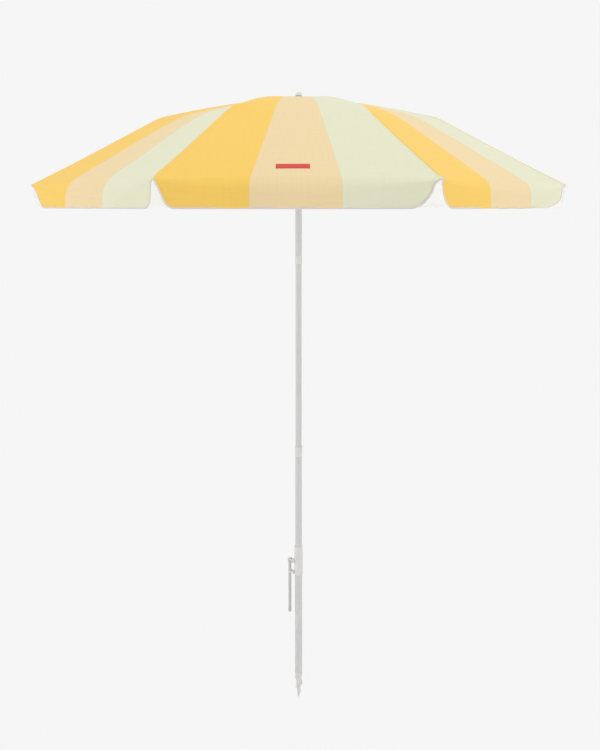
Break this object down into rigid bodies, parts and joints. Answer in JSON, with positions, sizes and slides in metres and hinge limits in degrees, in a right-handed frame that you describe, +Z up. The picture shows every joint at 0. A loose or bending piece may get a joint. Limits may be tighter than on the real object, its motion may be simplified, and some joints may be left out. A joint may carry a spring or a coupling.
{
  "type": "beach umbrella",
  "caption": "Folding beach umbrella with a striped flat-sided canopy and hanging valance on a telescopic pole with a sand screw and a fold-out turning handle.",
  "frame": {"origin": "tip of the sand screw, on the pole's axis", "axes": "+Z up along the pole, -Y towards the front panel, -X towards the folding handle"},
  "size_m": [1.6764, 1.6764, 2.1977],
  "materials": {
    "white_enamel": "satin white powder coat on steel tube",
    "white_plastic": "moulded white polypropylene",
    "grey_plastic": "moulded warm grey polypropylene",
    "rubber_bush": "matt friction bush",
    "bare_steel": "galvanised wire and strip",
    "striped_cloth": "plain woven polyester, yellow, peach and pale mint stripes"
  },
  "bodies": {
    "ground_pole": {"bottom_pole": "white_enamel", "sand_screw": "white_plastic", "handle_bracket": "white_plastic", "pole_bush": "rubber_bush", "handle_pivot_pin": "bare_steel"},
    "middle": {"middle_pole": "white_enamel", "lock_collet": "grey_plastic"},
    "collar": {"lock_collar": "white_plastic"},
    "mast": {"link_pole": "white_enamel", "upper_ferrule": "white_plastic", "upper_pole": "white_enamel", "crown": "white_plastic", "crown_ring_wire": "bare_steel", "canopy_washer": "white_plastic", "top_cap": "white_plastic"},
    "slider": {"runner": "white_plastic"},
    "catch": {"runner_catch": "bare_steel"},
    "handle": {"handle_knuckle": "grey_plastic", "handle_rod": "grey_plastic", "handle_end_cap": "grey_plastic"},
    "rib_arm_1": {"rib_1": "bare_steel", "rib_clip_1": "white_plastic", "rib_tip_cap_1": "white_plastic"},
    "stretcher_arm_1": {"stretcher_1": "bare_steel"},
    "cloth_1": {"panel_1": "striped_cloth"},
    "rib_arm_2": {"rib_2": "bare_steel", "rib_clip_2": "white_plastic", "rib_tip_cap_2": "white_plastic"},
    "stretcher_arm_2": {"stretcher_2": "bare_steel"},
    "cloth_2": {"panel_2": "striped_cloth"},
    "rib_arm_3": {"rib_3": "bare_steel", "rib_clip_3": "white_plastic", "rib_tip_cap_3": "white_plastic"},
    "stretcher_arm_3": {"stretcher_3": "bare_steel"},
    "cloth_3": {"panel_3": "striped_cloth"},
    "rib_arm_4": {"rib_4": "bare_steel", "rib_clip_4": "white_plastic", "rib_tip_cap_4": "white_plastic"},
    "stretcher_arm_4": {"stretcher_4": "bare_steel"},
    "cloth_4": {"panel_4": "striped_cloth"},
    "rib_arm_5": {"rib_5": "bare_steel", "rib_clip_5": "white_plastic", "rib_tip_cap_5": "white_plastic"},
    "stretcher_arm_5": {"stretcher_5": "bare_steel"},
    "cloth_5": {"panel_5": "striped_cloth"},
    "rib_arm_6": {"rib_6": "bare_steel", "rib_clip_6": "white_plastic", "rib_tip_cap_6": "white_plastic"},
    "stretcher_arm_6": {"stretcher_6": "bare_steel"},
    "cloth_6": {"panel_6": "striped_cloth"},
    "rib_arm_7": {"rib_7": "bare_steel", "rib_clip_7": "white_plastic", "rib_tip_cap_7": "white_plastic"},
    "stretcher_arm_7": {"stretcher_7": "bare_steel"},
    "cloth_7": {"panel_7": "striped_cloth"},
    "rib_arm_8": {"rib_8": "bare_steel", "rib_clip_8": "white_plastic", "rib_tip_cap_8": "white_plastic"},
    "stretcher_arm_8": {"stretcher_8": "bare_steel"},
    "cloth_8": {"panel_8": "striped_cloth"}
  },
  "joints": [
    {"name": "middle_slide", "type": "slide", "parent": "ground_pole", "child": "middle", "axis": [0, 0, -1], "range_m": [0, 0.25]},
    {"name": "collar_twist", "type": "hinge", "parent": "middle", "child": "collar", "pos_m": [0, 0, 0.89], "axis": [0, 0, 1], "range_deg": [0, 120]},
    {"name": "mast_slide", "type": "slide", "parent": "middle", "child": "mast", "axis": [0, 0, -1], "range_m": [0, 0.28]},
    {"name": "runner_slide", "type": "slide", "parent": "mast", "child": "slider", "axis": [0, 0, -1], "range_m": [0, 0.7006], "deforming": ["panel_1", "panel_2", "panel_3", "panel_4", "panel_5", "panel_6", "panel_7", "panel_8", "runner_catch"]},
    {"name": "catch_press", "type": "hinge", "parent": "mast", "child": "catch", "pos_m": [0.01, 0, 1.87936], "axis": [0, -1, 0], "range_deg": [0, 6], "stiffness_Nm_per_rad": 0.5},
    {"name": "handle_swing", "type": "hinge", "parent": "ground_pole", "child": "handle", "pos_m": [-0.0316, 0, 0.496], "axis": [0, 1, 0], "range_deg": [0, 90]},
    {"name": "rib_fold_1", "type": "hinge", "parent": "mast", "child": "rib_arm_1", "pos_m": [-0.00765, -0.01848, 2.174], "axis": [0.9239, -0.3827, 0], "range_deg": [0, 65]},
    {"name": "stretcher_fold_1", "type": "hinge", "parent": "rib_arm_1", "child": "stretcher_arm_1", "pos_m": [-0.18028, -0.43523, 2.07393], "axis": [0.9239, -0.3827, 0], "range_deg": [-130, 0]},
    {"name": "panel_fold_1", "type": "hinge", "parent": "mast", "child": "cloth_1", "pos_m": [0, -0.007, 2.18046], "axis": [1, 0, 0], "range_deg": [0, 62.5]},
    {"name": "rib_fold_2", "type": "hinge", "parent": "mast", "child": "rib_arm_2", "pos_m": [0.00765, -0.01848, 2.174], "axis": [0.9239, 0.3827, 0], "range_deg": [0, 65]},
    {"name": "stretcher_fold_2", "type": "hinge", "parent": "rib_arm_2", "child": "stretcher_arm_2", "pos_m": [0.18028, -0.43523, 2.07393], "axis": [0.9239, 0.3827, 0], "range_deg": [-130, 0]},
    {"name": "panel_fold_2", "type": "hinge", "parent": "mast", "child": "cloth_2", "pos_m": [0.00495, -0.00495, 2.18046], "axis": [0.7071, 0.7071, 0], "range_deg": [0, 62.5]},
    {"name": "rib_fold_3", "type": "hinge", "parent": "mast", "child": "rib_arm_3", "pos_m": [0.01848, -0.00765, 2.174], "axis": [0.3827, 0.9239, 0], "range_deg": [0, 65]},
    {"name": "stretcher_fold_3", "type": "hinge", "parent": "rib_arm_3", "child": "stretcher_arm_3", "pos_m": [0.43523, -0.18028, 2.07393], "axis": [0.3827, 0.9239, 0], "range_deg": [-130, 0]},
    {"name": "panel_fold_3", "type": "hinge", "parent": "mast", "child": "cloth_3", "pos_m": [0.007, 0, 2.18046], "axis": [0, 1, 0], "range_deg": [0, 62.5]},
    {"name": "rib_fold_4", "type": "hinge", "parent": "mast", "child": "rib_arm_4", "pos_m": [0.01848, 0.00765, 2.174], "axis": [-0.3827, 0.9239, 0], "range_deg": [0, 65]},
    {"name": "stretcher_fold_4", "type": "hinge", "parent": "rib_arm_4", "child": "stretcher_arm_4", "pos_m": [0.43523, 0.18028, 2.07393], "axis": [-0.3827, 0.9239, 0], "range_deg": [-130, 0]},
    {"name": "panel_fold_4", "type": "hinge", "parent": "mast", "child": "cloth_4", "pos_m": [0.00495, 0.00495, 2.18046], "axis": [-0.7071, 0.7071, 0], "range_deg": [0, 62.5]},
    {"name": "rib_fold_5", "type": "hinge", "parent": "mast", "child": "rib_arm_5", "pos_m": [0.00765, 0.01848, 2.174], "axis": [-0.9239, 0.3827, 0], "range_deg": [0, 65]},
    {"name": "stretcher_fold_5", "type": "hinge", "parent": "rib_arm_5", "child": "stretcher_arm_5", "pos_m": [0.18028, 0.43523, 2.07393], "axis": [-0.9239, 0.3827, 0], "range_deg": [-130, 0]},
    {"name": "panel_fold_5", "type": "hinge", "parent": "mast", "child": "cloth_5", "pos_m": [0, 0.007, 2.18046], "axis": [-1, 0, 0], "range_deg": [0, 62.5]},
    {"name": "rib_fold_6", "type": "hinge", "parent": "mast", "child": "rib_arm_6", "pos_m": [-0.00765, 0.01848, 2.174], "axis": [-0.9239, -0.3827, 0], "range_deg": [0, 65]},
    {"name": "stretcher_fold_6", "type": "hinge", "parent": "rib_arm_6", "child": "stretcher_arm_6", "pos_m": [-0.18028, 0.43523, 2.07393], "axis": [-0.9239, -0.3827, 0], "range_deg": [-130, 0]},
    {"name": "panel_fold_6", "type": "hinge", "parent": "mast", "child": "cloth_6", "pos_m": [-0.00495, 0.00495, 2.18046], "axis": [-0.7071, -0.7071, 0], "range_deg": [0, 62.5]},
    {"name": "rib_fold_7", "type": "hinge", "parent": "mast", "child": "rib_arm_7", "pos_m": [-0.01848, 0.00765, 2.174], "axis": [-0.3827, -0.9239, 0], "range_deg": [0, 65]},
    {"name": "stretcher_fold_7", "type": "hinge", "parent": "rib_arm_7", "child": "stretcher_arm_7", "pos_m": [-0.43523, 0.18028, 2.07393], "axis": [-0.3827, -0.9239, 0], "range_deg": [-130, 0]},
    {"name": "panel_fold_7", "type": "hinge", "parent": "mast", "child": "cloth_7", "pos_m": [-0.007, 0, 2.18046], "axis": [0, -1, 0], "range_deg": [0, 62.5]},
    {"name": "rib_fold_8", "type": "hinge", "parent": "mast", "child": "rib_arm_8", "pos_m": [-0.01848, -0.00765, 2.174], "axis": [0.3827, -0.9239, 0], "range_deg": [0, 65]},
    {"name": "stretcher_fold_8", "type": "hinge", "parent": "rib_arm_8", "child": "stretcher_arm_8", "pos_m": [-0.43523, -0.18028, 2.07393], "axis": [0.3827, -0.9239, 0], "range_deg": [-130, 0]},
    {"name": "panel_fold_8", "type": "hinge", "parent": "mast", "child": "cloth_8", "pos_m": [-0.00495, -0.00495, 2.18046], "axis": [0.7071, -0.7071, 0], "range_deg": [0, 62.5]}
  ],
  "couplings": [
    {"joint": "rib_fold_1", "follows": "runner_slide", "rad_per_m": 1.6093},
    {"joint": "stretcher_fold_1", "follows": "runner_slide", "rad_per_m": -3.2186},
    {"joint": "panel_fold_1", "follows": "runner_slide", "rad_per_m": 1.5445},
    {"joint": "rib_fold_2", "follows": "runner_slide", "rad_per_m": 1.6093},
    {"joint": "stretcher_fold_2", "follows": "runner_slide", "rad_per_m": -3.2186},
    {"joint": "panel_fold_2", "follows": "runner_slide", "rad_per_m": 1.5445},
    {"joint": "rib_fold_3", "follows": "runner_slide", "rad_per_m": 1.6093},
    {"joint": "stretcher_fold_3", "follows": "runner_slide", "rad_per_m": -3.2186},
    {"joint": "panel_fold_3", "follows": "runner_slide", "rad_per_m": 1.5445},
    {"joint": "rib_fold_4", "follows": "runner_slide", "rad_per_m": 1.6093},
    {"joint": "stretcher_fold_4", "follows": "runner_slide", "rad_per_m": -3.2186},
    {"joint": "panel_fold_4", "follows": "runner_slide", "rad_per_m": 1.5445},
    {"joint": "rib_fold_5", "follows": "runner_slide", "rad_per_m": 1.6093},
    {"joint": "stretcher_fold_5", "follows": "runner_slide", "rad_per_m": -3.2186},
    {"joint": "panel_fold_5", "follows": "runner_slide", "rad_per_m": 1.5445},
    {"joint": "rib_fold_6", "follows": "runner_slide", "rad_per_m": 1.6093},
    {"joint": "stretcher_fold_6", "follows": "runner_slide", "rad_per_m": -3.2186},
    {"joint": "panel_fold_6", "follows": "runner_slide", "rad_per_m": 1.5445},
    {"joint": "rib_fold_7", "follows": "runner_slide", "rad_per_m": 1.6093},
    {"joint": "stretcher_fold_7", "follows": "runner_slide", "rad_per_m": -3.2186},
    {"joint": "panel_fold_7", "follows": "runner_slide", "rad_per_m": 1.5445},
    {"joint": "rib_fold_8", "follows": "runner_slide", "rad_per_m": 1.6093},
    {"joint": "stretcher_fold_8", "follows": "runner_slide", "rad_per_m": -3.2186},
    {"joint": "panel_fold_8", "follows": "runner_slide", "rad_per_m": 1.5445}
  ]
}
